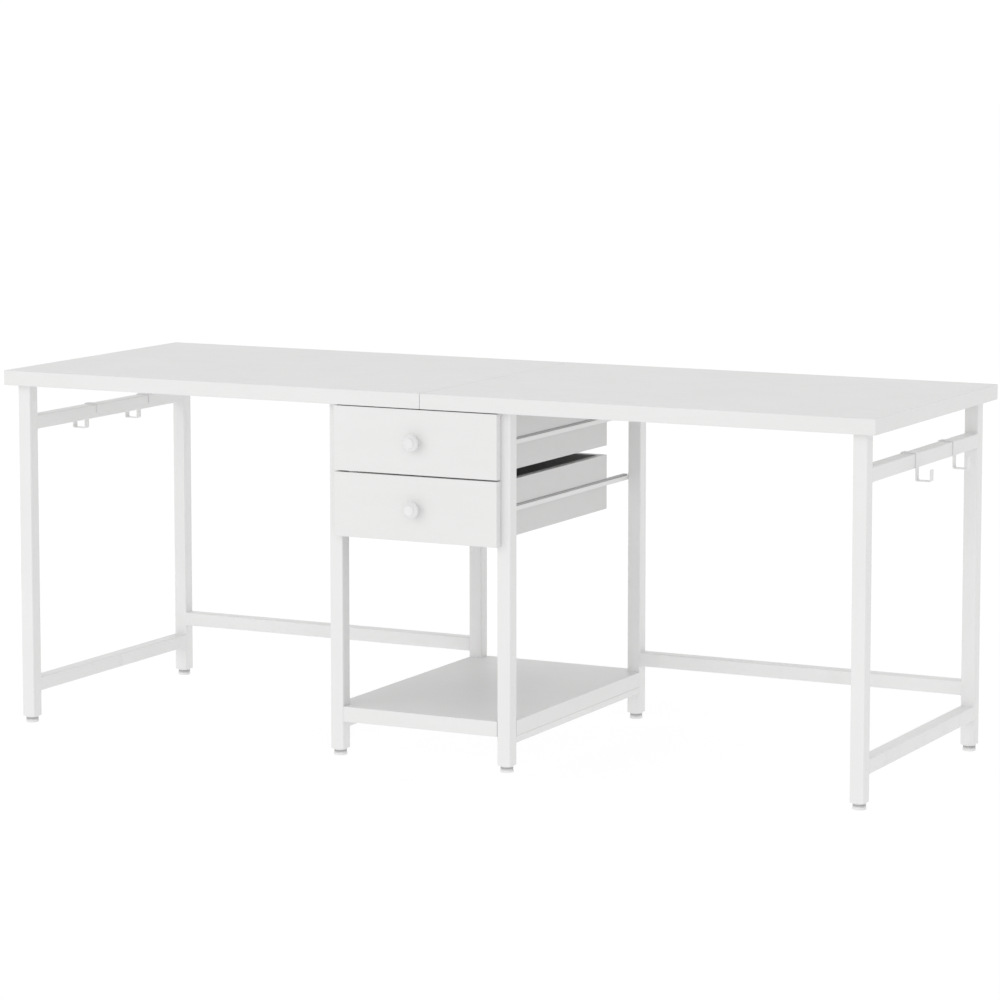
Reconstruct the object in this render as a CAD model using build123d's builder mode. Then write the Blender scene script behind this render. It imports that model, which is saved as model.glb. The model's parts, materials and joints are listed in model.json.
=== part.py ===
from build123d import *
import os

# Sewing table: two tabletop panels on eight square-tube legs, a centre unit with two
# drawers over a shelf, and four bag hooks that hang over the end rails.
# Millimetres. +X runs along the table, -Y is the front where the user sits, +Z is up.
# The origin is on the floor, in the middle of the footprint measured over the knobs.

os.makedirs("parts", exist_ok=True)

# ---- overall size ----
table_length = 2000.0
table_depth = 700.0
table_height = 770.0
top_thickness = 32.0
seam_x = 12.0            # where the two panels meet, a little right of the middle
seam_gap = 1.0
panel_edge_radius = 1.0

# ---- knobs, which set how far the table reaches in front ----
knob_reach = 27.0
knob_diameter = 34.0
knob_stem_diameter = 16.0
knob_stem_length = 11.0

front_y = (knob_reach - table_depth) / 2
back_y = front_y + table_depth
underside_z = table_height - top_thickness

# ---- square steel tube ----
tube = 30.0
tube_wall = 1.5
tube_corner = 2.5

# ---- legs ----
leg_bottom_z = 14.0
end_leg_inset = 23.0
front_setback = 19.0
back_setback = 22.0
end_leg_x = table_length / 2 - end_leg_inset - tube / 2
unit_width = 418.0       # over the outer faces of the centre legs
centre_leg_x = (unit_width - tube) / 2
leg_y = {"front": front_y + front_setback + tube / 2, "rear": back_y - back_setback - tube / 2}
leg_x = {
    "end_left": -end_leg_x,
    "centre_left": -centre_leg_x,
    "centre_right": centre_leg_x,
    "end_right": end_leg_x,
}
side_rail_length = leg_y["rear"] - leg_y["front"] - tube
side_rail_y = (leg_y["rear"] + leg_y["front"]) / 2

# ---- rails and stretchers, by the height of their undersides ----
upper_rail_z = 640.5
lower_rail_z = 67.0
stretcher_z = 118.0

# ---- tabs that screw the legs to the tabletop ----
tab_length = 45.0
tab_thickness = 3.0
tab_hole_pitch = 22.0
wood_screw_radius = 2.25
wood_screw_length = 22.0
wood_head_radius = 4.5
wood_head_height = 2.6
hole_clearance = 0.05

# ---- plates under the seam ----
plate_length = 80.0
plate_width = 40.0
plate_pitch_y = 230.0
plate_screw_dx = 56.0
plate_screw_dy = 22.0

# ---- shelf ----
shelf_bottom_z = 73.0
shelf_thickness = 32.0
bearer_height = 15.0
shelf_notch_clearance = 0.2
shelf_screw_radius = 2.5
shelf_screw_length = 36.0

# ---- drawers ----
drawer_pitch = 137.0
front_width = 376.0
front_height = 134.0
front_thickness = 18.0
lower_front_z = 465.0
box_width = 350.0
box_height = 117.0
box_lift = 10.5          # the box stands this far above the lower edge of its front
side_thickness = 15.0
side_length = 512.0
back_thickness = 18.0
bottom_thickness = 6.0
bottom_lift = 10.0
bottom_groove = 5.0
slide_groove_lift = 57.5
slide_groove_height = 7.0
slide_groove_depth = 9.0
dowel_radius = 4.0
back_screw_radius = 2.0
knob_screw_radius = 2.0

# ---- drawer rails, folded steel angles fixed between the centre legs ----
rail_thickness = 2.0
rail_height = 9.0
rail_width = 11.5
rail_screw_radius = 1.5
rail_screw_head = 2.8
runner_width = 9.0
runner_height = 3.5

# ---- levelling feet ----
foot_diameter = 28.0
foot_height = 5.5
foot_ring_diameter = 24.0
flange_height = 2.5      # the insert's flange, between the leg and the ring of the foot
foot_stem_diameter = 8.0
foot_stem_top = 52.0
insert_height = 20.0
running_gap = 0.2

# ---- bag hooks, bent from flat strip ----
hook_width = 16.0
hook_strip = 2.0
hook_bend = 3.0
hook_lip_z = 653.0
hook_bottom_z = 615.0
hook_tip_z = 640.0
hook_reach_x = 1010.0
hook_y = {"front": front_y + 288.0, "rear": front_y + 503.0}


# ------------------------------------------------------------------ tabletop
# Each panel is drilled from below for the leg tabs and for the plates at the seam.
plate_rows = [side_rail_y + step * plate_pitch_y for step in (-1, 0, 1)]


def tab_centre_y(row):
    inward = 1 if row == "front" else -1
    return leg_y[row] + inward * (tube + tab_length) / 2


def top_screw_points():
    points = []
    for x in leg_x.values():
        for row in leg_y:
            points.append((x, tab_centre_y(row) - tab_hole_pitch / 2))
            points.append((x, tab_centre_y(row) + tab_hole_pitch / 2))
    for y in plate_rows:
        for dx in (-plate_screw_dx / 2, plate_screw_dx / 2):
            for dy in (-plate_screw_dy / 2, plate_screw_dy / 2):
                points.append((seam_x + dx, y + dy))
    return points


for side in ("left", "right"):
    low_x = -table_length / 2 if side == "left" else seam_x + seam_gap / 2
    high_x = seam_x - seam_gap / 2 if side == "left" else table_length / 2
    holes = [p for p in top_screw_points() if low_x < p[0] < high_x]
    with BuildPart() as tabletop:
        with Locations(((low_x + high_x) / 2, (front_y + back_y) / 2, underside_z)):
            Box(high_x - low_x, table_depth, top_thickness, align=(Align.CENTER, Align.CENTER, Align.MIN))
        fillet(tabletop.edges().group_by(Axis.Z)[-1], radius=panel_edge_radius)
        fillet(tabletop.edges().group_by(Axis.Z)[0], radius=panel_edge_radius)
        with Locations(*[(x, y, underside_z) for x, y in holes]):
            Cylinder(
                wood_screw_radius + hole_clearance,
                wood_screw_length - tab_thickness + 0.5,
                align=(Align.CENTER, Align.CENTER, Align.MIN),
                mode=Mode.SUBTRACT,
            )
    tabletop.part.label = f"tabletop_{side}"
    export_step(tabletop.part, f"parts/tabletop_{side}.step")

with BuildPart() as seam_plates:
    with Locations(*[(seam_x, y, underside_z - tab_thickness) for y in plate_rows]):
        Box(plate_length, plate_width, tab_thickness, align=(Align.CENTER, Align.CENTER, Align.MIN))
    fillet(seam_plates.edges().filter_by(Axis.Z), radius=4.0)
    with Locations(*[(seam_x, y, underside_z - tab_thickness) for y in plate_rows]):
        with GridLocations(plate_screw_dx, plate_screw_dy, 2, 2):
            Cylinder(
                wood_screw_radius + hole_clearance,
                tab_thickness,
                align=(Align.CENTER, Align.CENTER, Align.MIN),
                mode=Mode.SUBTRACT,
            )
seam_plates.part.label = "seam_plates"
export_step(seam_plates.part, "parts/seam_plates.step")

with BuildPart() as leg_tabs:
    for x in leg_x.values():
        for row in leg_y:
            with Locations((x, tab_centre_y(row), underside_z - tab_thickness)):
                Box(tube, tab_length, tab_thickness, align=(Align.CENTER, Align.CENTER, Align.MIN))
                with GridLocations(0, tab_hole_pitch, 1, 2):
                    Cylinder(
                        wood_screw_radius + hole_clearance,
                        tab_thickness,
                        align=(Align.CENTER, Align.CENTER, Align.MIN),
                        mode=Mode.SUBTRACT,
                    )
leg_tabs.part.label = "leg_tabs"
export_step(leg_tabs.part, "parts/leg_tabs.step")

with BuildPart() as tabletop_screws:
    with Locations(*[(x, y, underside_z - tab_thickness) for x, y in top_screw_points()]):
        Cylinder(wood_head_radius, wood_head_height, align=(Align.CENTER, Align.CENTER, Align.MAX))
        Cylinder(wood_screw_radius, wood_screw_length, align=(Align.CENTER, Align.CENTER, Align.MIN))
    fillet(tabletop_screws.edges().group_by(Axis.Z)[0], radius=1.2)
tabletop_screws.part.label = "tabletop_screws"
export_step(tabletop_screws.part, "parts/tabletop_screws.step")


# ---------------------------------------------------------------------- legs
# The centre legs carry the drawer rails, so they are drilled for the rail screws.
box_bottom_z = {
    "lower": lower_front_z + box_lift,
    "upper": lower_front_z + box_lift + drawer_pitch,
}
slide_z = {level: z + slide_groove_lift for level, z in box_bottom_z.items()}
rail_top_z = {level: z + 3.0 for level, z in slide_z.items()}
rail_screw_z = {level: z - rail_height / 2 - 1.0 for level, z in rail_top_z.items()}
clear_half_width = centre_leg_x - tube / 2

for place, x in leg_x.items():
    for row, y in leg_y.items():
        with BuildPart() as leg:
            with BuildSketch(Plane.XY.offset(leg_bottom_z)):
                with Locations((x, y)):
                    RectangleRounded(tube, tube, tube_corner)
                    RectangleRounded(
                        tube - 2 * tube_wall,
                        tube - 2 * tube_wall,
                        tube_corner - tube_wall,
                        mode=Mode.SUBTRACT,
                    )
            extrude(amount=underside_z - leg_bottom_z)
            if place.startswith("centre"):
                inward = 1 if x < 0 else -1
                wall_x = x + inward * (tube / 2 - tube_wall / 2)
                with Locations(*[Location((wall_x, y, z), (0, 90, 0)) for z in rail_screw_z.values()]):
                    Cylinder(rail_screw_radius + hole_clearance, tube_wall + 0.4, mode=Mode.SUBTRACT)
        leg.part.label = f"leg_{place}_{row}"
        export_step(leg.part, f"parts/leg_{place}_{row}.step")


# ------------------------------------------------- side rails and stretchers
for side, x in (("left", -end_leg_x), ("right", end_leg_x)):
    for level, z in (("upper", upper_rail_z), ("lower", lower_rail_z)):
        with BuildPart() as side_rail:
            with BuildSketch(Plane.XZ.offset(-(side_rail_y - side_rail_length / 2))):
                with Locations((x, z + tube / 2)):
                    RectangleRounded(tube, tube, tube_corner)
                    RectangleRounded(
                        tube - 2 * tube_wall,
                        tube - 2 * tube_wall,
                        tube_corner - tube_wall,
                        mode=Mode.SUBTRACT,
                    )
            extrude(amount=-side_rail_length)
        side_rail.part.label = f"side_rail_{level}_{side}"
        export_step(side_rail.part, f"parts/side_rail_{level}_{side}.step")

stretcher_length = end_leg_x - centre_leg_x - tube
for side, sign in (("left", -1), ("right", 1)):
    start_x = sign * (end_leg_x + centre_leg_x) / 2 - stretcher_length / 2
    with BuildPart() as stretcher:
        with BuildSketch(Plane.YZ.offset(start_x)):
            with Locations((leg_y["rear"], stretcher_z + tube / 2)):
                RectangleRounded(tube, tube, tube_corner)
                RectangleRounded(
                    tube - 2 * tube_wall,
                    tube - 2 * tube_wall,
                    tube_corner - tube_wall,
                    mode=Mode.SUBTRACT,
                )
        extrude(amount=stretcher_length)
    stretcher.part.label = f"rear_stretcher_{side}"
    export_step(stretcher.part, f"parts/rear_stretcher_{side}.step")


# --------------------------------------------------------------------- shelf
shelf_front_y = leg_y["front"] - tube / 2
shelf_back_y = leg_y["rear"] + tube / 2
shelf_screw_rows = [side_rail_y + step * 200.0 for step in (-1, 0, 1)]
shelf_screw_points = [(x, y) for x in (-centre_leg_x, centre_leg_x) for y in shelf_screw_rows]
bearer_z = shelf_bottom_z - bearer_height

with BuildPart() as shelf:
    with Locations((0, side_rail_y, shelf_bottom_z)):
        Box(
            unit_width,
            shelf_back_y - shelf_front_y,
            shelf_thickness,
            align=(Align.CENTER, Align.CENTER, Align.MIN),
        )
    notch = tube + 2 * shelf_notch_clearance
    with Locations(*[(x, y, shelf_bottom_z) for x in (-centre_leg_x, centre_leg_x) for y in leg_y.values()]):
        Box(notch, notch, shelf_thickness, align=(Align.CENTER, Align.CENTER, Align.MIN), mode=Mode.SUBTRACT)
    fillet(shelf.edges().group_by(Axis.Z)[-1], radius=panel_edge_radius)
    with Locations(*[(x, y, shelf_bottom_z) for x, y in shelf_screw_points]):
        Cylinder(
            shelf_screw_radius + hole_clearance,
            shelf_screw_length - bearer_height + 0.5,
            align=(Align.CENTER, Align.CENTER, Align.MIN),
            mode=Mode.SUBTRACT,
        )
shelf.part.label = "shelf"
export_step(shelf.part, "parts/shelf.step")

for side, x in (("left", -centre_leg_x), ("right", centre_leg_x)):
    with BuildPart() as bearer:
        with BuildSketch(Plane.XZ.offset(-(side_rail_y - side_rail_length / 2))):
            with Locations((x, bearer_z + bearer_height / 2)):
                RectangleRounded(tube, bearer_height, tube_corner)
                RectangleRounded(
                    tube - 2 * tube_wall,
                    bearer_height - 2 * tube_wall,
                    tube_corner - tube_wall,
                    mode=Mode.SUBTRACT,
                )
        extrude(amount=-side_rail_length)
        with Locations(*[(x, y, bearer_z) for y in shelf_screw_rows]):
            Cylinder(
                shelf_screw_radius + hole_clearance,
                bearer_height,
                align=(Align.CENTER, Align.CENTER, Align.MIN),
                mode=Mode.SUBTRACT,
            )
    bearer.part.label = f"shelf_bearer_{side}"
    export_step(bearer.part, f"parts/shelf_bearer_{side}.step")

with BuildPart() as shelf_screws:
    with Locations(*[(x, y, bearer_z) for x, y in shelf_screw_points]):
        Cylinder(wood_head_radius, wood_head_height, align=(Align.CENTER, Align.CENTER, Align.MAX))
        Cylinder(shelf_screw_radius, shelf_screw_length, align=(Align.CENTER, Align.CENTER, Align.MIN))
    fillet(shelf_screws.edges().group_by(Axis.Z)[0], radius=1.2)
shelf_screws.part.label = "shelf_screws"
export_step(shelf_screws.part, "parts/shelf_screws.step")


# -------------------------------------------------------------- drawer rails
# Each angle has an upright flange against the legs and a flat flange that reaches into
# the groove of the drawer side. A nylon runner lies on the flat flange.
rail_length = shelf_back_y - shelf_front_y - 1.0
rail_screw_ys = list(leg_y.values())

for side, sign in (("left", -1), ("right", 1)):
    for level, top_z in rail_top_z.items():
        outer_x = sign * clear_half_width
        with BuildPart() as drawer_rail:
            with BuildSketch(Plane.XZ.offset(-(side_rail_y - rail_length / 2))):
                with BuildLine():
                    Polyline(
                        (outer_x, top_z),
                        (outer_x, top_z - rail_height),
                        (outer_x - sign * rail_thickness, top_z - rail_height),
                        (outer_x - sign * rail_thickness, top_z - rail_thickness),
                        (outer_x - sign * rail_width, top_z - rail_thickness),
                        (outer_x - sign * rail_width, top_z),
                        close=True,
                    )
                make_face()
            extrude(amount=-rail_length)
            flange_x = outer_x - sign * rail_thickness / 2
            turn = -90 * sign
            with Locations(
                *[Location((flange_x, y, rail_screw_z[level]), (0, turn, 0)) for y in rail_screw_ys]
            ):
                Cone(
                    rail_screw_radius + hole_clearance,
                    rail_screw_head + hole_clearance,
                    rail_thickness,
                    mode=Mode.SUBTRACT,
                )
        drawer_rail.part.label = f"drawer_rail_{level}_{side}"
        export_step(drawer_rail.part, f"parts/drawer_rail_{level}_{side}.step")

with BuildPart() as rail_screws:
    for sign in (-1, 1):
        turn = -90 * sign
        for z in rail_screw_z.values():
            for y in rail_screw_ys:
                with Locations(Location((sign * clear_half_width, y, z), (0, turn, 0))):
                    Cone(
                        rail_screw_radius,
                        rail_screw_head,
                        rail_thickness,
                        align=(Align.CENTER, Align.CENTER, Align.MIN),
                    )
                    Cylinder(
                        rail_screw_radius,
                        8.0,
                        align=(Align.CENTER, Align.CENTER, Align.MAX),
                    )
rail_screws.part.label = "rail_screws"
export_step(rail_screws.part, "parts/rail_screws.step")

runner_front_y = front_y + front_thickness + 7.0
runner_length = shelf_back_y - tube - 0.5 - runner_front_y
runner_outer_x = clear_half_width - rail_thickness
with BuildPart() as runners:
    for sign in (-1, 1):
        for top_z in rail_top_z.values():
            with Locations((sign * (runner_outer_x - runner_width / 2), runner_front_y, top_z)):
                Box(runner_width, runner_length, runner_height, align=(Align.CENTER, Align.MIN, Align.MIN))
runners.part.label = "drawer_runners"
export_step(runners.part, "parts/drawer_runners.step")


# ------------------------------------------------------------------- drawers
# The box is a front, two sides, a back across their ends, and a thin bottom in grooves.
half_box = box_width / 2
side_front_y = front_y + front_thickness
side_back_y = side_front_y + side_length
side_mid_x = half_box - side_thickness / 2
bottom_width = box_width - 2 * side_thickness + 2 * bottom_groove
bottom_front_y = side_front_y - bottom_groove
bottom_back_y = side_back_y + bottom_groove
dowel_length = 30.0
dowel_in_front = 10.0
back_screw_length = 45.0

for level, box_z in box_bottom_z.items():
    front_z = box_z - box_lift
    knob_z = front_z + front_height / 2
    bottom_z = box_z + bottom_lift
    joint_zs = (box_z + 35.0, box_z + 95.0)
    side_joints = [(x, z) for x in (-side_mid_x, side_mid_x) for z in joint_zs]

    with BuildPart() as front_panel:
        with Locations((0, front_y + front_thickness / 2, front_z + front_height / 2)):
            Box(front_width, front_thickness, front_height)
        fillet(front_panel.faces().sort_by(Axis.Y)[0].edges(), radius=panel_edge_radius)
        with Locations((0, side_front_y - bottom_groove / 2, bottom_z + bottom_thickness / 2)):
            Box(bottom_width, bottom_groove, bottom_thickness, mode=Mode.SUBTRACT)
        with Locations(*[Location((x, side_front_y, z), (90, 0, 0)) for x, z in side_joints]):
            Cylinder(
                dowel_radius + hole_clearance,
                dowel_in_front,
                align=(Align.CENTER, Align.CENTER, Align.MIN),
                mode=Mode.SUBTRACT,
            )
        with Locations(Location((0, front_y + front_thickness / 2, knob_z), (90, 0, 0))):
            Cylinder(knob_screw_radius + hole_clearance, front_thickness, mode=Mode.SUBTRACT)
    front_panel.part.label = f"drawer_front_{level}"
    export_step(front_panel.part, f"parts/drawer_front_{level}.step")

    for side, sign in (("left", -1), ("right", 1)):
        with BuildPart() as side_panel:
            with Locations((sign * side_mid_x, side_front_y, box_z)):
                Box(
                    side_thickness,
                    side_length,
                    box_height,
                    align=(Align.CENTER, Align.MIN, Align.MIN),
                )
            with Locations((sign * (half_box - slide_groove_depth / 2), side_front_y, slide_z[level])):
                Box(
                    slide_groove_depth,
                    side_length,
                    slide_groove_height,
                    align=(Align.CENTER, Align.MIN, Align.MIN),
                    mode=Mode.SUBTRACT,
                )
            with Locations((sign * (half_box - side_thickness + bottom_groove / 2), side_front_y, bottom_z)):
                Box(
                    bottom_groove,
                    side_length,
                    bottom_thickness,
                    align=(Align.CENTER, Align.MIN, Align.MIN),
                    mode=Mode.SUBTRACT,
                )
            with Locations(*[Location((sign * side_mid_x, side_front_y, z), (90, 0, 0)) for z in joint_zs]):
                Cylinder(
                    dowel_radius + hole_clearance,
                    dowel_length - dowel_in_front,
                    align=(Align.CENTER, Align.CENTER, Align.MAX),
                    mode=Mode.SUBTRACT,
                )
            with Locations(*[Location((sign * side_mid_x, side_back_y, z), (90, 0, 0)) for z in joint_zs]):
                Cylinder(
                    back_screw_radius + hole_clearance,
                    back_screw_length - back_thickness + 0.5,
                    align=(Align.CENTER, Align.CENTER, Align.MIN),
                    mode=Mode.SUBTRACT,
                )
        side_panel.part.label = f"drawer_side_{level}_{side}"
        export_step(side_panel.part, f"parts/drawer_side_{level}_{side}.step")

    with BuildPart() as back_panel:
        with Locations((0, side_back_y, box_z)):
            Box(box_width, back_thickness, box_height, align=(Align.CENTER, Align.MIN, Align.MIN))
        for sign in (-1, 1):
            with Locations((sign * (half_box - slide_groove_depth / 2), side_back_y, slide_z[level])):
                Box(
                    slide_groove_depth,
                    back_thickness,
                    slide_groove_height,
                    align=(Align.CENTER, Align.MIN, Align.MIN),
                    mode=Mode.SUBTRACT,
                )
        with Locations((0, side_back_y, bottom_z)):
            Box(
                bottom_width,
                bottom_groove,
                bottom_thickness,
                align=(Align.CENTER, Align.MIN, Align.MIN),
                mode=Mode.SUBTRACT,
            )
        with Locations(*[Location((x, side_back_y, z), (90, 0, 0)) for x, z in side_joints]):
            Cylinder(
                back_screw_radius + hole_clearance,
                back_thickness,
                align=(Align.CENTER, Align.CENTER, Align.MAX),
                mode=Mode.SUBTRACT,
            )
        with Locations(
            *[Location((x, side_back_y + back_thickness, z), (90, 0, 0)) for x, z in side_joints]
        ):
            Cone(
                2 * back_screw_radius + hole_clearance,
                back_screw_radius + hole_clearance,
                2.4,
                align=(Align.CENTER, Align.CENTER, Align.MIN),
                mode=Mode.SUBTRACT,
            )
    back_panel.part.label = f"drawer_back_{level}"
    export_step(back_panel.part, f"parts/drawer_back_{level}.step")

    with BuildPart() as bottom_panel:
        with Locations((0, bottom_front_y, bottom_z)):
            Box(
                bottom_width,
                bottom_back_y - bottom_front_y,
                bottom_thickness,
                align=(Align.CENTER, Align.MIN, Align.MIN),
            )
    bottom_panel.part.label = f"drawer_bottom_{level}"
    export_step(bottom_panel.part, f"parts/drawer_bottom_{level}.step")

    with BuildPart() as dowels:
        with Locations(
            *[Location((x, side_front_y - dowel_in_front, z), (90, 0, 0)) for x, z in side_joints]
        ):
            Cylinder(dowel_radius, dowel_length, align=(Align.CENTER, Align.CENTER, Align.MAX))
    dowels.part.label = f"drawer_dowels_{level}"
    export_step(dowels.part, f"parts/drawer_dowels_{level}.step")

    with BuildPart() as back_screws:
        with Locations(
            *[Location((x, side_back_y + back_thickness, z), (90, 0, 0)) for x, z in side_joints]
        ):
            Cylinder(
                back_screw_radius,
                back_screw_length,
                align=(Align.CENTER, Align.CENTER, Align.MIN),
            )
            Cone(
                2 * back_screw_radius,
                back_screw_radius,
                2.4,
                align=(Align.CENTER, Align.CENTER, Align.MIN),
            )
    back_screws.part.label = f"drawer_back_screws_{level}"
    export_step(back_screws.part, f"parts/drawer_back_screws_{level}.step")

    # The knob is turned: a narrow stem that widens into a domed head.
    head_radius = knob_diameter / 2
    with BuildPart() as knob:
        with BuildSketch(Plane.YZ):
            with BuildLine():
                Line((front_y, knob_z), (front_y, knob_z + knob_stem_diameter / 2 + 2))
                Spline(
                    (front_y, knob_z + knob_stem_diameter / 2 + 2),
                    (front_y - knob_stem_length * 0.55, knob_z + knob_stem_diameter / 2),
                    (front_y - knob_stem_length, knob_z + head_radius - 3),
                )
                Spline(
                    (front_y - knob_stem_length, knob_z + head_radius - 3),
                    (front_y - knob_stem_length - 6, knob_z + head_radius),
                    (front_y - knob_reach + 3, knob_z + head_radius - 6),
                    (front_y - knob_reach, knob_z),
                    tangents=((-1, 1), (0, -1)),
                )
                Line((front_y - knob_reach, knob_z), (front_y, knob_z))
            make_face()
        revolve(axis=Axis((0, 0, knob_z), (0, 1, 0)), revolution_arc=360)
        with Locations(Location((0, front_y, knob_z), (90, 0, 0))):
            Cylinder(
                knob_screw_radius + hole_clearance,
                12.0,
                align=(Align.CENTER, Align.CENTER, Align.MIN),
                mode=Mode.SUBTRACT,
            )
    knob.part.label = f"knob_{level}"
    export_step(knob.part, f"parts/knob_{level}.step")

    with BuildPart() as knob_screw:
        with Locations(Location((0, side_front_y, knob_z), (90, 0, 0))):
            Cylinder(4.0, 2.4, align=(Align.CENTER, Align.CENTER, Align.MAX))
            Cylinder(
                knob_screw_radius,
                front_thickness + 11.5,
                align=(Align.CENTER, Align.CENTER, Align.MIN),
            )
    knob_screw.part.label = f"knob_screw_{level}"
    export_step(knob_screw.part, f"parts/knob_screw_{level}.step")


# ------------------------------------------------------------ levelling feet
foot_points = [(x, y) for x in leg_x.values() for y in leg_y.values()]
insert_width = tube - 2 * tube_wall
flange_z = leg_bottom_z - flange_height

with BuildPart() as foot_inserts:
    with BuildSketch(Plane.XY.offset(leg_bottom_z)):
        with Locations(*foot_points):
            RectangleRounded(insert_width, insert_width, tube_corner - tube_wall)
            Circle(foot_stem_diameter / 2 + 0.3, mode=Mode.SUBTRACT)
    extrude(amount=insert_height)
    with BuildSketch(Plane.XY.offset(flange_z)):
        with Locations(*foot_points):
            Circle(foot_diameter / 2)
            Circle(foot_stem_diameter / 2 + 0.3, mode=Mode.SUBTRACT)
    extrude(amount=flange_height)
foot_inserts.part.label = "foot_inserts"
export_step(foot_inserts.part, "parts/foot_inserts.step")

for place, x in leg_x.items():
    for row, y in leg_y.items():
        with BuildPart() as foot:
            with Locations((x, y, 0)):
                Cylinder(
                    foot_diameter / 2,
                    foot_height,
                    align=(Align.CENTER, Align.CENTER, Align.MIN),
                )
            fillet(foot.edges().group_by(Axis.Z)[-1], radius=1.0)
            chamfer(foot.edges().group_by(Axis.Z)[0], length=0.8)
            with Locations((x, y, 0)):
                Cylinder(
                    foot_ring_diameter / 2,
                    flange_z - running_gap,
                    align=(Align.CENTER, Align.CENTER, Align.MIN),
                )
                Cylinder(
                    foot_stem_diameter / 2,
                    foot_stem_top,
                    align=(Align.CENTER, Align.CENTER, Align.MIN),
                )
        foot.part.label = f"foot_{place}_{row}"
        export_step(foot.part, f"parts/foot_{place}_{row}.step")


# ----------------------------------------------------------------- bag hooks
# The strip goes over the upper side rail, down its outer face, out and up again.
for side, sign in (("left", -1), ("right", 1)):
    over = tube / 2 + running_gap + hook_strip / 2
    top_z = upper_rail_z + tube + running_gap + hook_strip / 2
    low_z = hook_bottom_z + hook_strip / 2
    path = [
        (sign * (end_leg_x - over), hook_lip_z),
        (sign * (end_leg_x - over), top_z),
        (sign * (end_leg_x + over), top_z),
        (sign * (end_leg_x + over), low_z),
        (sign * (hook_reach_x - hook_strip / 2), low_z),
        (sign * (hook_reach_x - hook_strip / 2), hook_tip_z - hook_strip / 2),
    ]
    for row, y in hook_y.items():
        with BuildPart() as hook:
            with BuildSketch(Plane.XZ.offset(-(y - hook_width / 2))):
                with BuildLine():
                    FilletPolyline(*path, radius=hook_bend)
                    offset(amount=hook_strip / 2, side=Side.BOTH)
                make_face()
            extrude(amount=-hook_width)
        hook.part.label = f"hook_{side}_{row}"
        export_step(hook.part, f"parts/hook_{side}_{row}.step")
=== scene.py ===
import json
import math

import bmesh
import bpy
from mathutils import Matrix, Vector


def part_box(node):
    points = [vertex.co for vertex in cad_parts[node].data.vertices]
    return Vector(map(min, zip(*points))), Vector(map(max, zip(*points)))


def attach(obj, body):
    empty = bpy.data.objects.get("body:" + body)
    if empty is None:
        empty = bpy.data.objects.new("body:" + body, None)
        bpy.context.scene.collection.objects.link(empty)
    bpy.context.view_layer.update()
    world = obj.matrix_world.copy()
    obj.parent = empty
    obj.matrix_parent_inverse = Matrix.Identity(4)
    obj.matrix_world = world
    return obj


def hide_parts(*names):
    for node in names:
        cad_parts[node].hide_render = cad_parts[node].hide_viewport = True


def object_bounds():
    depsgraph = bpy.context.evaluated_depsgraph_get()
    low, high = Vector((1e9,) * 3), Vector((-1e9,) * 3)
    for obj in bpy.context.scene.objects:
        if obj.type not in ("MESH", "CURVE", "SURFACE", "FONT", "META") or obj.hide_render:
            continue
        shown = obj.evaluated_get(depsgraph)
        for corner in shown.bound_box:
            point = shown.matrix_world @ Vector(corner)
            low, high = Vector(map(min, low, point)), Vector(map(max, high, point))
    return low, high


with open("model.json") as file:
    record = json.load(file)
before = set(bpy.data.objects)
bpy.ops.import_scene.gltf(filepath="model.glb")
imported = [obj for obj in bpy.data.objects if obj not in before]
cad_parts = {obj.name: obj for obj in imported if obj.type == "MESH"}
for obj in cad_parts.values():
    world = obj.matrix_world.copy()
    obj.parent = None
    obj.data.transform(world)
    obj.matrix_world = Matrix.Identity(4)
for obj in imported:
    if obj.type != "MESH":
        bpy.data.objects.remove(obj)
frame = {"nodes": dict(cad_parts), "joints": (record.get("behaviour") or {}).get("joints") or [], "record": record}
cad_box = [list(corner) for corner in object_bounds()]
nodes = frame["nodes"]
record = frame["record"]

# The looks of a white sewing table: a node material for every part, the small detail that the
# CAD leaves plain (screw heads, weld beads, foot collars), and a white studio. Metres throughout.


# ---------------------------------------------------------------- materials
# Places of the colour sockets of a Mix node.
MIX_FACTOR, MIX_A, MIX_B, MIX_RESULT = 0, 6, 7, 2
BEVEL_SAMPLES = 2


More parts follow.
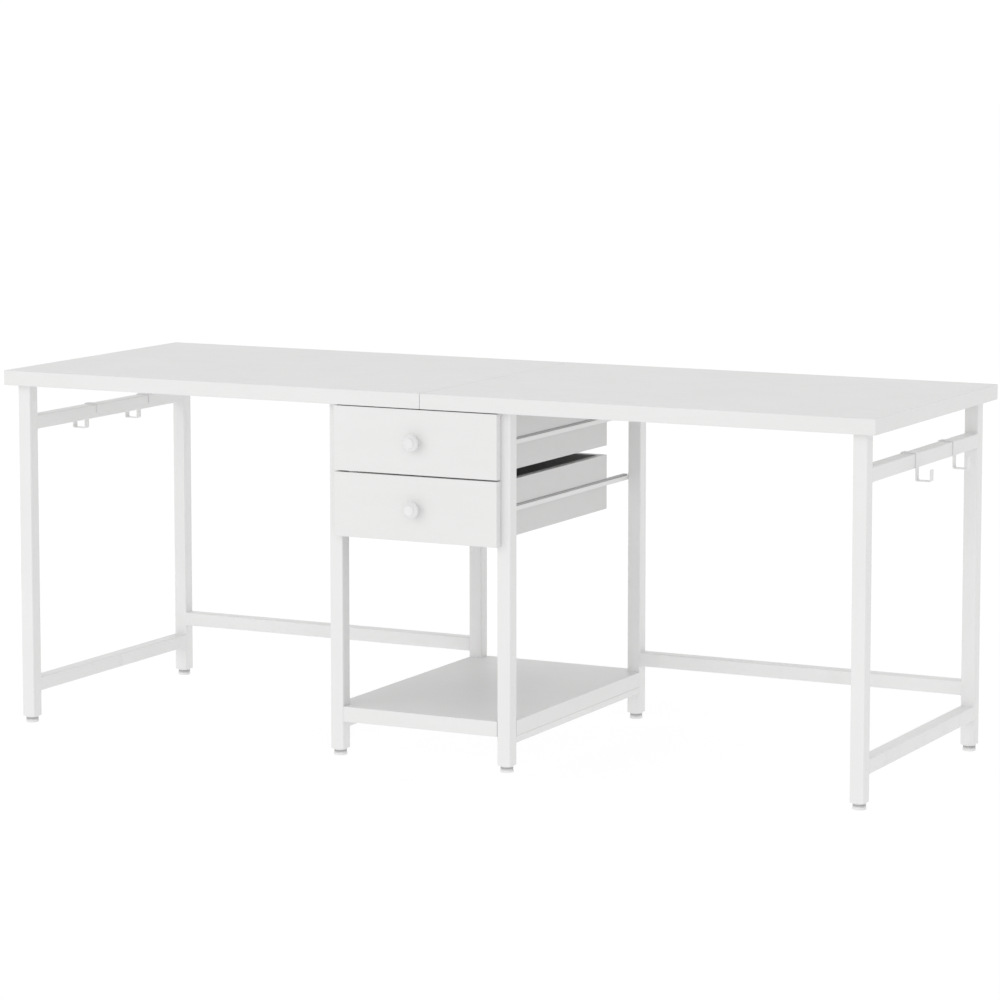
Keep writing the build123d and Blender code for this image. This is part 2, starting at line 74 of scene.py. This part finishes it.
class Shader:
    """A node material with a principled shader and a few helpers for procedural detail."""

    def __init__(self, name, roughness=0.5, metallic=0.0):
        self.mat = bpy.data.materials.new(name)
        self.mat.use_nodes = True
        self.tree = self.mat.node_tree
        self.bsdf = self.tree.nodes["Principled BSDF"]
        self.bsdf.inputs["Roughness"].default_value = roughness
        self.bsdf.inputs["Metallic"].default_value = metallic
        self.coord = self.tree.nodes.new("ShaderNodeTexCoord").outputs["Object"]

    def node(self, kind, **settings):
        """Adds a node. Each setting is the value of an input, or else a property."""
        made = self.tree.nodes.new(kind)
        for key, value in settings.items():
            if key in made.inputs:
                made.inputs[key].default_value = value
            else:
                setattr(made, key, value)
        return made

    def link(self, source, target):
        self.tree.links.new(source, target)

    def noise(self, scale, detail=3.0, stretch=(1, 1, 1)):
        """Noise with about scale features to the metre, fewer along an axis with a small stretch."""
        mapping = self.node("ShaderNodeMapping")
        mapping.inputs["Scale"].default_value = stretch
        self.link(self.coord, mapping.inputs["Vector"])
        tex = self.node("ShaderNodeTexNoise", Scale=scale, Detail=detail)
        self.link(mapping.outputs["Vector"], tex.inputs["Vector"])
        return tex.outputs["Fac"]

    def ramp(self, fac, stops):
        """Colours a 0..1 value by a list of (place, colour)."""
        ramp = self.node("ShaderNodeValToRGB")
        elements = ramp.color_ramp.elements
        while len(elements) < len(stops):
            elements.new(0.5)
        for element, (place, colour) in zip(elements, stops):
            element.position = place
            element.color = (*colour, 1)
        self.link(fac, ramp.inputs["Fac"])
        return ramp.outputs["Color"]

    def mask(self, fac, start, end, at_start=0.0, at_end=1.0):
        """A grey that goes from at_start to at_end while fac goes from start to end."""
        return self.ramp(fac, [(start, grey(at_start)), (end, grey(at_end))])

    def mix(self, fac, a, b):
        """Goes from a to b as fac goes from 0 to 1. Each of a and b is a socket or a colour."""
        mix = self.node("ShaderNodeMix", data_type="RGBA")
        for source, place in ((fac, MIX_FACTOR), (a, MIX_A), (b, MIX_B)):
            if isinstance(source, tuple):
                mix.inputs[place].default_value = (*source, 1)
            else:
                self.link(source, mix.inputs[place])
        return mix.outputs[MIX_RESULT]

    def spread(self, fac, low, high):
        """Maps a 0..1 value to low..high."""
        mapped = self.node("ShaderNodeMapRange")
        mapped.inputs["To Min"].default_value = low
        mapped.inputs["To Max"].default_value = high
        self.link(fac, mapped.inputs["Value"])
        return mapped.outputs["Result"]

    def rise(self, fac, start, end):
        """0 at start and 1 at end, which may be the lower of the two."""
        step = self.node("ShaderNodeMapRange")
        step.inputs["From Min"].default_value = start
        step.inputs["From Max"].default_value = end
        self.link(fac, step.inputs["Value"])
        return step.outputs["Result"]

    def bump(self, heights, strength=0.3):
        """heights is a list of (height socket, depth in metres)."""
        normal = None
        for height, depth in heights:
            bump = self.node("ShaderNodeBump", Strength=strength, Distance=depth)
            self.link(height, bump.inputs["Height"])
            if normal is not None:
                self.link(normal, bump.inputs["Normal"])
            normal = bump.outputs["Normal"]
        self.link(normal, self.bsdf.inputs["Normal"])

    def edges(self, radius):
        """A mask that is 0 on flat faces and rises to 1 within radius of an edge."""
        bevel = self.node("ShaderNodeBevel", samples=BEVEL_SAMPLES, Radius=radius)
        flat = self.node("ShaderNodeNewGeometry").outputs["Normal"]
        facing = self.node("ShaderNodeVectorMath", operation="DOT_PRODUCT")
        self.link(bevel.outputs["Normal"], facing.inputs[0])
        self.link(flat, facing.inputs[1])
        return self.rise(facing.outputs["Value"], 1.0, 0.8)

    def times(self, a, b):
        product = self.node("ShaderNodeMath", operation="MULTIPLY")
        self.link(a, product.inputs[0])
        self.link(b, product.inputs[1])
        return product.outputs["Value"]

    def height(self, start, end):
        """0 at the height start and 1 at the height end, above the soles of the feet at rest."""
        parts = self.node("ShaderNodeSeparateXYZ")
        self.link(self.coord, parts.inputs[0])
        return self.rise(parts.outputs["Z"], start, end)

    def colour(self, source):
        self.link(source, self.bsdf.inputs["Base Color"])

    def rough(self, source):
        self.link(source, self.bsdf.inputs["Roughness"])

    def coat(self, weight, roughness):
        self.bsdf.inputs["Coat Weight"].default_value = weight
        self.bsdf.inputs["Coat Roughness"].default_value = roughness


def grey(level, warm=0.0):
    """A grey in linear light, with more red and less blue as warm grows."""
    return (level * (1 + warm), level, level * (1 - warm))


def laminate(name, level):
    """White melamine with a banded edge: pearl texture, faint clouding, rubbed arrises."""
    s = Shader(name)
    warm = 0.003
    cloud = s.mask(s.noise(2.6, 4.0), 0.3, 0.7)
    tone = s.mix(cloud, grey(level * 0.982, warm * 2), grey(level, warm))
    fibre = s.mask(s.noise(46.0, 6.0, stretch=(0.35, 1.0, 1.0)), 0.38, 0.62, at_start=0.18, at_end=0.0)
    tone = s.mix(fibre, tone, grey(level * 0.94, warm * 3))
    edge = s.edges(0.0016)
    band = s.ramp(edge, [(0.04, grey(0)), (0.12, grey(0.4)), (0.2, grey(0))])
    tone = s.mix(band, tone, grey(level * 0.72, warm * 4))
    rubbed = s.times(edge, s.mask(s.noise(24.0, 5.0), 0.46, 0.68, at_end=0.5))
    s.colour(s.mix(rubbed, tone, grey(level * 0.86, warm * 6)))
    s.rough(s.spread(s.noise(11.0, 6.0), 0.36, 0.54))
    s.bump([(s.noise(1300.0, 2.0), 0.00006), (s.noise(240.0, 3.0), 0.00009)], strength=0.35)
    return s.mat


def powder_coat(name, level):
    """White powder coat on steel: orange peel, tiny specks, thin at the edges, scuffed low down."""
    s = Shader(name)
    patch = s.mask(s.noise(8.0, 4.0), 0.3, 0.7)
    tone = s.mix(patch, grey(level * 0.975, 0.004), grey(level, 0.003))
    speck = s.mask(s.noise(1500.0, 1.0), 0.25, 0.32, at_start=0.2, at_end=0.0)
    tone = s.mix(speck, tone, grey(level * 0.78))
    thin = s.times(s.edges(0.0012), s.mask(s.noise(60.0, 4.0), 0.4, 0.7, at_start=0.05, at_end=0.4))
    tone = s.mix(thin, tone, grey(level * 0.88, 0.004))
    near_feet = s.height(0.16, 0.02)
    marks = s.mask(s.noise(34.0, 8.0, stretch=(1.0, 1.0, 0.25)), 0.58, 0.66, at_end=0.3)
    s.colour(s.mix(s.times(near_feet, marks), tone, grey(level * 0.8, 0.01)))
    s.rough(s.spread(s.noise(32.0, 4.0), 0.38, 0.56))
    s.bump([(s.noise(620.0, 2.0), 0.00025), (s.noise(130.0, 2.0), 0.0002)], strength=0.4)
    s.coat(0.12, roughness=0.3)
    return s.mat


def plastic(name, level, roughness=(0.4, 0.55), coat=0.0):
    """Moulded plastic: fine spark grain, faint flow marks and a duller, worn edge."""
    s = Shader(name)
    flow = s.mask(s.noise(40.0, 4.0, stretch=(1.0, 1.0, 0.4)), 0.35, 0.65)
    tone = s.mix(flow, grey(level * 0.95), grey(level))
    worn = s.times(s.edges(0.001), s.mask(s.noise(150.0, 4.0), 0.42, 0.65, at_end=0.6))
    s.colour(s.mix(worn, tone, grey(level * 0.84)))
    s.rough(s.spread(s.noise(160.0, 3.0), *roughness))
    s.bump([(s.noise(1500.0, 2.0), 0.00005), (s.noise(300.0, 2.0), 0.00005)])
    s.coat(coat, roughness=0.15)
    return s.mat


def zinc(name):
    """Bright zinc plating: spangled bloom, worn brighter on its edges."""
    s = Shader(name, metallic=1.0)
    dull, plain, bright = (0.40, 0.40, 0.38), (0.58, 0.58, 0.56), (0.66, 0.66, 0.63)
    tone = s.ramp(s.noise(120.0, 5.0), [(0.3, dull), (0.55, plain), (0.75, bright)])
    s.colour(s.mix(s.edges(0.0003), tone, (0.74, 0.74, 0.72)))
    s.rough(s.spread(s.noise(300.0, 4.0), 0.26, 0.46))
    s.bump([(s.noise(900.0, 3.0), 0.00005)])
    return s.mat


def levelling_foot(name, pad, ring):
    """Pale glide pad, a darker grey band above it, zinc plated thread above that."""
    s = Shader(name)
    above_pad = s.height(0.0070, 0.0073)
    above_ring = s.height(0.01135, 0.0115)
    mottle = s.mask(s.noise(90.0, 4.0), 0.35, 0.65)
    pad_tone = s.mix(mottle, grey(pad * 0.94), grey(pad))
    dark_band_tone = s.mix(mottle, grey(ring * 0.9), grey(ring))
    tone = s.mix(above_pad, pad_tone, dark_band_tone)
    scuffed = s.times(s.edges(0.0012), s.mask(s.noise(130.0, 5.0), 0.4, 0.62, at_end=0.7))
    tone = s.mix(scuffed, tone, grey(pad * 0.78, 0.01))
    s.colour(s.mix(above_ring, tone, (0.60, 0.60, 0.58)))
    s.link(above_ring, s.bsdf.inputs["Metallic"])
    s.rough(s.spread(s.noise(220.0, 3.0), 0.4, 0.6))
    s.bump([(s.noise(1200.0, 2.0), 0.00006)])
    return s.mat


def lining_with_painted_shade(name, level):
    """Dark lined board inside the drawers, at a level that also paints in the shade there."""
    s = Shader(name)
    weave = s.noise(700.0, 3.0)
    tone = s.mix(s.mask(weave, 0.3, 0.7), grey(level * 0.7, 0.02), grey(level * 1.2, 0.02))
    dust = s.mask(s.noise(18.0, 7.0), 0.5, 0.72, at_end=0.3)
    s.colour(s.mix(dust, tone, grey(level * 2.2, 0.03)))
    s.rough(s.spread(s.noise(80.0, 3.0), 0.7, 0.9))
    s.bump([(weave, 0.0002)])
    return s.mat


def beech(name):
    """Turned beech: long grain with short darker flecks."""
    s = Shader(name)
    grain = s.noise(120.0, 6.0, stretch=(1.0, 0.08, 1.0))
    dark, plain, pale = (0.42, 0.25, 0.12), (0.62, 0.42, 0.24), (0.70, 0.50, 0.30)
    tone = s.ramp(grain, [(0.3, dark), (0.5, plain), (0.7, pale)])
    fleck = s.mask(s.noise(400.0, 3.0, stretch=(1.0, 0.2, 1.0)), 0.3, 0.4, at_start=0.5, at_end=0.0)
    s.colour(s.mix(fleck, tone, (0.36, 0.20, 0.10)))
    s.rough(s.spread(grain, 0.5, 0.7))
    s.bump([(grain, 0.0001)])
    return s.mat


slot_material = {
    "worktop_laminate": laminate("worktop_laminate", 0.785),
    "drawer_front_laminate": laminate("drawer_front_laminate", 0.78),
    # The drawer boxes' board is set darker than the same white laminate elsewhere: painted shade, standing for the
    # shade on the drawer sides under the tabletop.
    "drawer_board": laminate("drawer_board", 0.655),
    # The drawer lining is dark board, and its level is pushed to near black: painted shade inside the drawers.
    "hardboard": lining_with_painted_shade("hardboard", 0.02),
    "beech": beech("beech"),
    "coated_steel": powder_coat("coated_steel", 0.795),
    "zinc_steel": zinc("zinc_steel"),
    "runner_nylon": plastic("runner_nylon", 0.42),
    "insert_plastic": plastic("insert_plastic", 0.80),
    "foot_plastic": levelling_foot("foot_plastic", pad=0.80, ring=0.44),
    "knob_plastic": plastic("knob_plastic", 0.80, roughness=(0.3, 0.42), coat=0.15),
}
node_slot = {entry["node"]: entry["material_slot"] for entry in record["subparts"]}
for name, node in nodes.items():
    node.data.materials.clear()
    node.data.materials.append(slot_material[node_slot[name]])


# ------------------------------------------------------------- added pieces
SHARP_ANGLE = math.radians(35)


def add_piece(name, bm, body, slot, smooth=True):
    """Turns a bmesh in world metres into a piece with its slot's material."""
    bmesh.ops.recalc_face_normals(bm, faces=bm.faces)
    mesh = bpy.data.meshes.new(name)
    bm.to_mesh(mesh)
    bm.free()
    mesh.materials.append(slot_material[slot])
    made = bpy.data.objects.new(name, mesh)
    bpy.context.scene.collection.objects.link(made)
    if smooth:
        mesh.shade_smooth()
        mesh.set_sharp_from_angle(angle=SHARP_ANGLE)
    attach(made, body)
    return made


def middle(low, high):
    return Vector([(a + b) / 2 for a, b in zip(low, high)])


def corners_of(points):
    """The lowest and the highest corner of the box round the points."""
    return tuple(Vector([pick(p[i] for p in points) for i in range(3)]) for pick in (min, max))


def loose_parts(node):
    """The lowest and highest corner of each separate solid in a node's mesh."""
    owner = {}

    def root(place):
        while owner[place] != place:
            place = owner[place]
        return place

    # The mesh repeats a point for each face that meets there, so points are joined by place.
    places = [tuple(round(c, 5) for c in v.co) for v in node.data.vertices]
    for place in places:
        owner[place] = place
    for edge in node.data.edges:
        first, second = (root(places[i]) for i in edge.vertices)
        owner[max(first, second)] = min(first, second)
    groups = {}
    for place in owner:
        groups.setdefault(root(place), []).append(place)
    return [corners_of(group) for _, group in sorted(groups.items())]


def skin(bm, lower, upper):
    """Closes the band between two rings of as many points."""
    for i in range(len(lower)):
        j = (i + 1) % len(lower)
        bm.faces.new((lower[i], lower[j], upper[j], upper[i]))


# ---- screws, each redrawn with a cross recess where its plain solid stands
SCREW_SIDES = 20
# Sizes of the cross recess, as parts of the length of one arm.
ARM_HALF_WIDTH, RECESS_DEPTH = 0.26, 0.75
# How much of the recess's mouth is left at its bottom, across and up.
BOTTOM_ACROSS, BOTTOM_UP = 0.45, 0.6


def ring_of(bm, place, radius, z):
    turn = 2 * math.pi / SCREW_SIDES
    return [
        bm.verts.new(place @ Vector((radius * math.cos(i * turn), radius * math.sin(i * turn), z)))
        for i in range(SCREW_SIDES)
    ]


def add_screw(bm, place, profile, arm):
    """A cross-head screw. profile is (radius, z) from the tip to the rim of the drive face."""
    rings = [ring_of(bm, place, radius, z) for radius, z in profile]
    bm.faces.new(rings[0])
    for lower, upper in zip(rings, rings[1:]):
        skin(bm, lower, upper)
    top = profile[-1][1]
    bottom = top + arm * RECESS_DEPTH
    half = arm * ARM_HALF_WIDTH
    outline = []
    for quarter in range(4):
        turn = Matrix.Rotation(quarter * math.pi / 2, 3, "Z")
        outline += [turn @ Vector(p) for p in ((arm, -half, 0), (arm, half, 0), (half, half, 0))]
    mouth = [bm.verts.new(place @ Vector((p.x, p.y, top))) for p in outline]
    seat = [bm.verts.new(place @ Vector((p.x * BOTTOM_ACROSS, p.y * BOTTOM_UP, bottom))) for p in outline]
    skin(bm, mouth, seat)
    bm.faces.new(seat)
    rims = []
    for loop in (rings[-1], mouth):
        for i in range(len(loop)):
            rims.append(bm.edges.get((loop[i], loop[(i + 1) % len(loop)])))
    bmesh.ops.triangle_fill(bm, edges=rims, use_beauty=True)


def pan_head(head, rise, shank, length):
    """Outline of a round-headed screw, with z = 0 under the head and the head on the side of -z."""
    return [
        (shank * 0.2, length), (shank * 0.95, length * 0.8),
        (shank * 0.7, length * 0.78), (shank, length * 0.5),
        (shank * 0.8, length * 0.48), (shank, 0.0),
        (head, 0.0), (head, -rise * 0.35), (head * 0.93, -rise * 0.66),
        (head * 0.8, -rise * 0.87), (head * 0.62, -rise),
    ]


def flat_head(head, sink, shank, length):
    """Outline of a countersunk screw, with z = 0 at the face of the head."""
    return [
        (shank * 0.2, length), (shank * 0.95, length * 0.8),
        (shank * 0.75, length * 0.78), (shank, sink),
        (head * 0.97, 0.0002), (head * 0.95, 0.0),
    ]


def pointing(origin, direction):
    """Carries the origin there and +Z to the direction."""
    return Matrix.Translation(origin) @ Vector(direction).to_track_quat("Z", "Y").to_matrix().to_4x4()


def redraw_screws(node_name, body, head_at, profile, recess):
    """head_at(low, high, rise) gives the outline's origin and the way the screw points."""
    rise = -profile[-1][1]
    bm = bmesh.new()
    for low, high in loose_parts(nodes[node_name]):
        origin, direction = head_at(low, high, rise)
        add_screw(bm, pointing(origin, direction), profile, recess)
    made = add_piece(node_name + "_cross_head", bm, body, "zinc_steel")
    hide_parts(node_name)


def from_below(low, high, rise):
    origin = middle(low, high)
    origin.z = low.z + rise
    return origin, (0, 0, 1)


def from_inside(low, high, rise):
    """Driven from between the centre legs, to the left or to the right."""
    outward = 1 if low.x > 0 else -1
    origin = middle(low, high)
    origin.x = (low.x if outward > 0 else high.x) + outward * rise
    return origin, (outward, 0, 0)


def from_rear(low, high, rise):
    origin = middle(low, high)
    origin.y = high.y - rise
    return origin, (0, -1, 0)


tabletop_screw = pan_head(head=0.0045, rise=0.0026, shank=0.00225, length=0.022)
shelf_screw = pan_head(head=0.0045, rise=0.0026, shank=0.0025, length=0.036)
rail_screw = flat_head(head=0.0028, sink=0.0020, shank=0.0015, length=0.010)
back_screw = flat_head(head=0.004, sink=0.0024, shank=0.002, length=0.045)
knob_screw = pan_head(head=0.004, rise=0.0024, shank=0.002, length=0.0295)

redraw_screws("tabletop_screws", "frame", from_below, tabletop_screw, recess=0.0025)
redraw_screws("shelf_screws", "frame", from_below, shelf_screw, recess=0.0025)
redraw_screws("rail_screws", "frame", from_inside, rail_screw, recess=0.0017)
for level in ("lower", "upper"):
    body = "drawer_" + level
    redraw_screws("drawer_back_screws_" + level, body, from_rear, back_screw, recess=0.0024)
    redraw_screws("knob_screw_" + level, body, from_rear, knob_screw, recess=0.0022)


# ---- weld beads, where the rails, stretchers and shelf bearers meet the legs
X, Y, Z = range(3)
UNIT = (Vector((1, 0, 0)), Vector((0, 1, 0)), Vector((0, 0, 1)))
BEAD_RADIUS = 0.0021
BEAD_CORNER = 0.002
BEAD_PITCH = 0.0013
BEAD_SIDES = 8
CORNER_STEPS = 3
# Half the width and height of the line that a bead's middle follows, just inside the tube's faces.
RAIL_BEAD = (0.0131, 0.0145)
BEARER_BEAD = (0.0131, 0.0056)


def rounded_rectangle(half_width, half_height):
    """Points along a rounded rectangle, about a bead pitch apart, as (place, outward normal)."""
    outline = []
    for quarter, (sx, sy) in enumerate(((1, 1), (-1, 1), (-1, -1), (1, -1))):
        centre = (sx * (half_width - BEAD_CORNER), sy * (half_height - BEAD_CORNER))
        for step in range(CORNER_STEPS + 1):
            angle = (quarter + step / CORNER_STEPS) * math.pi / 2
            nx, ny = math.cos(angle), math.sin(angle)
            outline.append((centre[0] + BEAD_CORNER * nx, centre[1] + BEAD_CORNER * ny, nx, ny))
    points = []
    for i, (x, y, nx, ny) in enumerate(outline):
        next_x, next_y, next_nx, next_ny = outline[(i + 1) % len(outline)]
        steps = max(1, round(math.hypot(next_x - x, next_y - y) / BEAD_PITCH))
        for k in range(steps):
            t = k / steps
            normal = Vector((nx + (next_nx - nx) * t, ny + (next_ny - ny) * t)).normalized()
            points.append((x + (next_x - x) * t, y + (next_y - y) * t, normal.x, normal.y))
    return points


def add_bead(bm, centre, along, across, up, half_width, half_height):
    """One weld run right round a tube's end, with close ripples and a slower, uneven swell."""
    unevenness = centre.x * 9 + centre.y * 7
    rings = []
    for i, (x, y, nx, ny) in enumerate(rounded_rectangle(half_width, half_height)):
        swell = BEAD_RADIUS * (1 + 0.07 * math.sin(i * 2.9) + 0.05 * math.sin(i * 0.37 + unevenness))
        ring = []
        for k in range(BEAD_SIDES):
            turn = k * 2 * math.pi / BEAD_SIDES
            out, side = swell * math.cos(turn), swell * math.sin(turn)
            place = centre + across * (x + nx * out) + up * (y + ny * out) + along * side
            ring.append(bm.verts.new(place))
        rings.append(ring)
    for i, ring in enumerate(rings):
        skin(bm, ring, rings[(i + 1) % len(rings)])


def weld_ends(bm, node_name, along, across, half_size):
    """A bead at both ends of a tube. along and across are the axes of its length and its width."""
    low, high = (Vector(c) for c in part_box(node_name))
    for end in (low, high):
        centre = middle(low, high)
        centre[along] = end[along]
        add_bead(bm, centre, UNIT[along], UNIT[across], UNIT[Z], *half_size)


welds = bmesh.new()
for level in ("upper", "lower"):
    for side in ("left", "right"):
        weld_ends(welds, f"side_rail_{level}_{side}", Y, X, RAIL_BEAD)
for side in ("left", "right"):
    weld_ends(welds, f"rear_stretcher_{side}", X, Y, RAIL_BEAD)
    weld_ends(welds, f"shelf_bearer_{side}", Y, X, BEARER_BEAD)
add_piece("weld_beads", welds, "frame", "coated_steel")


# ---- a ribbed grip round each levelling foot, between its pad and the insert's flange
COLLAR_RIBS = 24
RIB_RADIUS, GROOVE_RADIUS = 0.0130, 0.01225
# Height above the foot's sole and how far in the rim is there, from the bottom up.
COLLAR_RINGS = ((0.0052, 0.0008), (0.0060, 0.0), (0.0104, 0.0), (0.0111, 0.0008))


def add_collar(place, row):
    foot = f"foot_{place}_{row}"
    low, high = (Vector(c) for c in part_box(foot))
    spot = Matrix.Translation(((low.x + high.x) / 2, (low.y + high.y) / 2, 0))
    radii = [RIB_RADIUS, RIB_RADIUS, GROOVE_RADIUS, GROOVE_RADIUS] * COLLAR_RIBS
    collar = bmesh.new()
    rings = []
    for z, inset in COLLAR_RINGS:
        rings.append([])
        for i, radius in enumerate(radii):
            rim, turn = radius - inset, i * math.pi / (2 * COLLAR_RIBS)
            place_on_rim = Vector((rim * math.cos(turn), rim * math.sin(turn), z))
            rings[-1].append(collar.verts.new(spot @ place_on_rim))
    for lower, upper in zip(rings, rings[1:]):
        skin(collar, lower, upper)
    collar.faces.new(rings[0])
    collar.faces.new(rings[-1])
    add_piece(f"foot_collar_{place}_{row}", collar, foot, "foot_plastic", smooth=False)


for place in ("end_left", "centre_left", "centre_right", "end_right"):
    for row in ("front", "rear"):
        add_collar(place, row)


# -------------------------------------------------------------------- stage
# Light from each side of the sky, where 1 is full white. The squares of a direction's three
# parts add up to one, so equal shares would light the object evenly from above.
SKY = {"top": 0.75, "front": 1.30, "back": 1.08, "right": 0.75, "left": 0.85}
SIDES = {"top": (Z, 1), "front": (Y, -1), "back": (Y, 1), "right": (X, 1), "left": (X, -1)}
FLOOR_HALF = 40.0
FLOOR_COLOUR = 0.15
FLOOR_GLOW = 0.88
KEY_POWER = 23.0


def make_floor():
    """A plain floor at the lowest point that the levelling feet reach, so that it hides none of them."""
    foot_reach = max(-joint["axis"][Z] * joint["range_m"][1] for joint in frame["joints"])
    z = cad_box[0][Z] - foot_reach
    mesh = bpy.data.meshes.new("floor")
    corners = [(x * FLOOR_HALF, y * FLOOR_HALF, z) for x, y in ((-1, -1), (1, -1), (1, 1), (-1, 1))]
    mesh.from_pydata(corners, [], [(0, 1, 2, 3)])
    floor = bpy.data.objects.new("floor", mesh)
    bpy.context.scene.collection.objects.link(floor)
    paper = Shader("floor_paper", roughness=0.9)
    paper.bsdf.inputs["Base Color"].default_value = (*grey(FLOOR_COLOUR), 1)
    paper.bsdf.inputs["Specular IOR Level"].default_value = 0.0
    paper.bsdf.inputs["Emission Color"].default_value = (1, 1, 1, 1)
    paper.bsdf.inputs["Emission Strength"].default_value = FLOOR_GLOW
    mesh.materials.append(paper.mat)


def make_sky():
    """A white surround for the camera, lit softly and a little unevenly from its sides."""
    world = bpy.data.worlds.new("studio")
    bpy.context.scene.world = world
    world.use_nodes = True
    tree = world.node_tree
    parts = tree.nodes.new("ShaderNodeSeparateXYZ")
    tree.links.new(tree.nodes.new("ShaderNodeTexCoord").outputs["Generated"], parts.inputs[0])

    def maths(operation, a, b):
        node = tree.nodes.new("ShaderNodeMath")
        node.operation = operation
        for value, socket in zip((a, b), node.inputs):
            if isinstance(value, (int, float)):
                socket.default_value = value
            else:
                tree.links.new(value, socket)
        return node.outputs[0]

    total = 0.0
    for side, share in SKY.items():
        axis, sign = SIDES[side]
        facing = maths("MAXIMUM", maths("MULTIPLY", parts.outputs[axis], sign), 0.0)
        total = maths("ADD", maths("MULTIPLY", maths("POWER", facing, 2.0), share), total)
    seen = tree.nodes.new("ShaderNodeLightPath").outputs["Is Camera Ray"]
    strength = maths("MAXIMUM", seen, total)
    tree.links.new(strength, tree.nodes["Background"].inputs["Strength"])
    tree.nodes["Background"].inputs["Color"].default_value = (1, 1, 1, 1)


def make_softbox(name, location, target, size, power):
    """A rectangular lamp that faces its target."""
    data = bpy.data.lights.new(name, "AREA")
    data.shape = "RECTANGLE"
    data.size, data.size_y = size
    data.energy = power
    lamp = bpy.data.objects.new(name, data)
    lamp.location = location
    lamp.rotation_mode = "QUATERNION"
    lamp.rotation_quaternion = (Vector(location) - Vector(target)).to_track_quat("Z", "Y")
    bpy.context.scene.collection.objects.link(lamp)


# ------------------------------------------------------------------- camera
CAMERA_PLACE = (3.5793, -7.0299, 1.6087)
CAMERA_YAW = math.radians(26.819)
CAMERA_PITCH = math.radians(6.410)
CAMERA_LENS_MM = 135.31
SENSOR_MM = 36.0
CAMERA_SHIFT = -0.1


def make_camera():
    """Stands in front and to the right, turned to the left by the yaw and down by the pitch."""
    data = bpy.data.cameras.new("camera")
    data.sensor_width = SENSOR_MM
    data.lens = CAMERA_LENS_MM
    data.shift_y = CAMERA_SHIFT
    camera = bpy.data.objects.new("camera", data)
    camera.location = CAMERA_PLACE
    flat, fall = math.cos(CAMERA_PITCH), math.sin(CAMERA_PITCH)
    looking = Vector((-math.sin(CAMERA_YAW) * flat, math.cos(CAMERA_YAW) * flat, -fall))
    camera.rotation_mode = "QUATERNION"
    camera.rotation_quaternion = looking.to_track_quat("-Z", "Y")
    bpy.context.scene.collection.objects.link(camera)
    bpy.context.scene.camera = camera


make_floor()
make_sky()
make_softbox("key", location=(-3.0, -5.0, 3.5), target=(0, 0, 0.4), size=(3.0, 2.0), power=KEY_POWER)
make_camera()
bpy.context.scene.view_settings.view_transform = "Standard"
